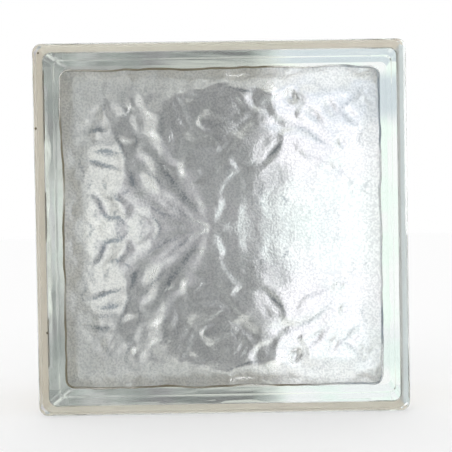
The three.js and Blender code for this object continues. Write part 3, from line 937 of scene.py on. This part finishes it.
def coat_material():
    """Brushed cream coat: soft streaks along each edge, and a little light comes through it.

    The right side has painted shade, greyer most of all near its shoulders, and a painted
    highlight, pale at its outermost. The left side has painted shade near its shoulders.
    """
    material, n = new_material("bonding_coat")
    _, x, y, z = n.place()
    on_side = n.ramp(abs(x) - abs(z - MID_HEIGHT * MM), -1 * MM, 1 * MM)
    long_x = x * (0.1 + 0.9 * on_side)
    long_z = z * (1 - 0.9 * on_side)
    along = n.add("ShaderNodeCombineXYZ", None, {0: long_x, 1: y, 2: long_z})
    streak = n.noise(along, 170.0)
    patch = n.noise(along, 70.0)
    rosy = n.ramp(patch, 0.52, 0.68)
    # Painted shade: the right side greyer, most near its shoulders, in patches
    shade_right = n.ramp(x, 80 * MM, 92 * MM) * on_side * (0.3 + 0.7 * n.ramp(abs(y), 19 * MM, 27 * MM))
    # Painted shade: the left side darker and yellower near its shoulders
    shade_left = n.ramp(x, -80 * MM, -92 * MM) * on_side * n.ramp(abs(y), 20 * MM, 28 * MM)
    # Painted highlight: pale blue-white at the outermost right edge
    highlight = n.ramp(x, 91.6 * MM, 92.6 * MM) * on_side
    colour = n.blend(n.ramp(streak, 0.35, 0.65), COAT_CREAM, COAT_LIGHT)
    colour = n.blend(0.6 * rosy, colour, COAT_ROSY)
    colour = n.blend(shade_right * n.ramp(patch, 0.2, 0.45), colour, COAT_SHADE_RIGHT)
    colour = n.blend(0.7 * shade_left, colour, COAT_SHADE_LEFT)
    colour = n.blend(highlight, colour, COAT_HIGHLIGHT)
    skin = {"Base Color": colour, "Roughness": 0.7, "IOR": 1.45}
    matt = n.add("ShaderNodeBsdfPrincipled", None, skin)
    through = n.add("ShaderNodeBsdfTranslucent", None, {"Color": COAT_GLOW})
    n.add("ShaderNodeOutputMaterial", None, {"Surface": n.mix(0.25, matt, through)})
    return material


# ---------------- stage

WHITE = (1, 1, 1, 1)
BLACK = (0, 0, 0, 1)
SQUARE = [(-1, -1), (1, -1), (1, 1), (-1, 1)]

# Card: half its side, its gap to the back face, and how far its pattern is moved to the left
CARD_HALF = 260.0
CARD_GAP = 60.0
CARD_SHIFT = 9.1
# Its tones: dark middle, what the left adds, bright stripe, pale bands, and white right
CARD_MIDDLE = 0.19
CARD_SLOPE = 0.175
CARD_STRIPE = 0.7
CARD_HIGH = 0.76
CARD_BRIGHT = 1.6
# Its tints: two for its patches, the pale places', and the corners'
TINT_ROSY = (1, 0.95, 1, 1)
TINT_GREEN = (0.915, 0.985, 0.955, 1)
TINT_WARM = (0.985, 0.975, 0.925, 1)
TINT_SKY = (0.62, 0.66, 0.74, 1)


def stage_floor():
    """A plain pale floor under the block's foot, wide enough to fill the view.

    Its level is a plain number, because at -MID_HEIGHT it would share a plane with the foot.
    """
    half, level = 3000.0, -95.0
    points = np.array([[half * a, half * b, level] for a, b in SQUARE])
    floor = make_mesh("floor", points, [np.array([[0, 3, 2, 1]])], smooth=False)
    material, n = new_material("floor_white")
    matt = n.add("ShaderNodeBsdfDiffuse", None, {"Color": (0.7, 0.7, 0.7, 1)})
    glow = n.add("ShaderNodeEmission", None, {"Color": WHITE, "Strength": 0.3})
    surface = n.add("ShaderNodeAddShader", None, {0: matt, 1: glow})
    n.add("ShaderNodeOutputMaterial", None, {"Surface": surface})
    floor.data.materials.append(material)
    floor.visible_transmission = False


def toned_card():
    """A card behind the block that only light through glass meets.

    It is grey in the middle and white at the right. The left is paler, with a bright ragged stripe,
    and pale bands run above and below the middle. A noise mirrored about mid height clouds it.
    """
    level = -(FACE_LEVEL + CARD_GAP)
    points = np.array([[CARD_HALF * a, level, CARD_HALF * b] for a, b in SQUARE])
    card = make_mesh("toned_card", points, [np.array([[0, 1, 2, 3]])], smooth=False)
    material, n = new_material("card_tone")
    _, x, _, z = n.place()
    x = x + CARD_SHIFT * MM
    rise = abs(z - MID_HEIGHT * MM)
    spot = n.add("ShaderNodeCombineXYZ", None, {0: x, 2: rise})
    cloud = n.noise(spot, 50.0, 3.0)
    hue = n.noise(spot, 31.0)
    far = n.ramp(rise, 28 * MM, 50 * MM)
    ragged = x + (cloud - 0.5) * 30 * MM
    right = n.ramp(x + (cloud - 0.5) * 14 * MM, 15 * MM + far * 4 * MM, 46 * MM)
    left = n.ramp(x, 9 * MM, -55 * MM)
    outer = 0.38 + 0.62 * n.ramp(ragged, -106 * MM, -88 * MM)
    stripe = n.ramp(ragged, -48 * MM, -74 * MM) * outer
    stripe = stripe * (1 - 0.88 * n.ramp(rise, 50 * MM, 80 * MM))
    above = rise - 9 * MM * n.ramp(x, -20 * MM, -60 * MM)
    high = n.ramp(above, 70 * MM, 80 * MM) * n.ramp(x, 62 * MM, 40 * MM)
    high = high * (1 - 0.7 * n.ramp(x, -20 * MM, -60 * MM))
    tone = CARD_MIDDLE + CARD_SLOPE * left + CARD_STRIPE * stripe
    tone = tone + 0.1 * n.ramp(x, 9 * MM, 24 * MM)
    tone = tone * (1 + (cloud - 0.5) * (2.0 + 0.8 * left))
    tone = tone * (1 + n.ramp(x, -78 * MM, -52 * MM) * (0.52 - 0.8 * far))
    tone = tone + (CARD_HIGH - tone) * high
    tone = tone * (1 + 0.2 * n.ramp(z, 36 * MM, 0))
    tone = tone + (CARD_BRIGHT - tone) * right
    corner = n.ramp(rise, 60 * MM, 74 * MM) * n.ramp(rise, 99 * MM, 90 * MM)
    corner = corner * n.ramp(x, 24 * MM, 50 * MM)
    corner = corner * (1 - 0.7 * n.ramp(z, MID_HEIGHT * MM, 40 * MM))
    tint = n.blend(n.ramp(hue, 0.42, 0.58), TINT_ROSY, TINT_GREEN)
    tint = n.blend(stripe.larger(high), tint, TINT_WARM)
    tint = n.blend(corner, tint, TINT_SKY)
    colour = n.blend(tone / CARD_BRIGHT, BLACK, tint)
    glow = n.add("ShaderNodeEmission", None, {"Color": colour, "Strength": CARD_BRIGHT})
    n.add("ShaderNodeOutputMaterial", None, {"Surface": glow})
    card.data.materials.append(material)
    card.visible_camera = False
    card.visible_diffuse = False
    card.visible_glossy = False
    card.visible_shadow = False


def studio_world():
    """White behind the block for the camera, and a soft studio that is brightest at the right.

    Light that a matt surface gathers through the glass is stronger, as from lamps close by, and
    what passes through the glass itself finds a plain even light. Mirroring surfaces also find a
    bright lamp in front at the right.
    """
    world = bpy.data.worlds.new("studio")
    bpy.context.scene.world = world
    world.use_nodes = True
    n = Nodes(world.node_tree)
    _, x, y, z = n.place("Generated")
    behind = n.ramp(y, -0.1, 0.3)
    right = n.ramp(x, -0.1, 0.3)
    beside = n.ramp(x, 0.25, 0.8)
    tall = n.ramp(abs(z), 0.3, 0.8)

    def light(strength):
        return n.add("ShaderNodeBackground", None, {"Color": WHITE, "Strength": strength})

    def ray(kind):
        return n.add("ShaderNodeLightPath", out=kind)

    white = light(1.0)
    back = n.mix(right, light(0.6), white)
    plain = n.mix(beside, light(0.95), light(1.05))
    soft = n.mix(beside, n.mix(behind, light(1.75), back), light(2.1))
    soft = n.mix(tall, soft, light(2.6))
    lamps = n.mix(beside, n.mix(behind, light(1.9), back), light(3.0))
    from_matt = ray("Diffuse Depth").smaller(1.0)
    shown = n.mix(ray("Is Transmission Ray"), plain, n.mix(from_matt, soft, lamps))
    mirrored = ray("Is Reflection Ray") * ray("Is Glossy Ray")
    glint = mirrored * n.ramp(x, 0.4, 0.65) * n.ramp(y, 0.5, 0.2)
    shown = n.mix(glint, shown, light(9.0))
    shown = n.mix(ray("Is Camera Ray"), shown, white)
    n.add("ShaderNodeOutputWorld", None, {"Surface": shown})


def camera():
    """The camera stands in front of the face, a little to the right and above its middle."""
    distance = 420.0
    aside, above = 30.0, 0.9
    pitch = math.radians(1.0)
    roll = math.radians(0.9)
    seen_width = 229.616
    middle = 2.4
    sensor = 36
    aim = np.array([aside, -FACE_LEVEL, MID_HEIGHT + above])
    spot = aim + distance * np.array([0, -math.cos(pitch), math.sin(pitch)])
    data = bpy.data.cameras.new("camera")
    view = bpy.data.objects.new("camera", data)
    view.location = spot * MM
    view.rotation_euler = (math.pi / 2 - pitch, roll, 0)
    data.sensor_width = sensor
    data.lens = sensor * distance / seen_width
    data.shift_x = (middle - aside) * math.cos(roll) / seen_width
    data.shift_y = (middle - aside) * math.sin(roll) / seen_width
    data.clip_start = 0.01
    bpy.context.scene.collection.objects.link(view)
    bpy.context.scene.camera = view


glass = glass_material()
pressed = [
    (glass_half("pressed_front", False), "front_half"),
    (glass_half("pressed_back", True), "back_half"),
]
for piece, node in pressed:
    piece.data.materials.append(glass)
    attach(piece, "root")
    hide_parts(node)

coat = coat_strip("brushed_coat")
coat.data.materials.append(coat_material())
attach(coat, "root")
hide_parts("edge_coating")

stage_floor()
toned_card()
studio_world()
camera()

# Light has to pass many faces of the two halves
scene = bpy.context.scene
scene.view_settings.view_transform = "Standard"
scene.cycles.max_bounces = 24
scene.cycles.transmission_bounces = 24
scene.cycles.glossy_bounces = 12
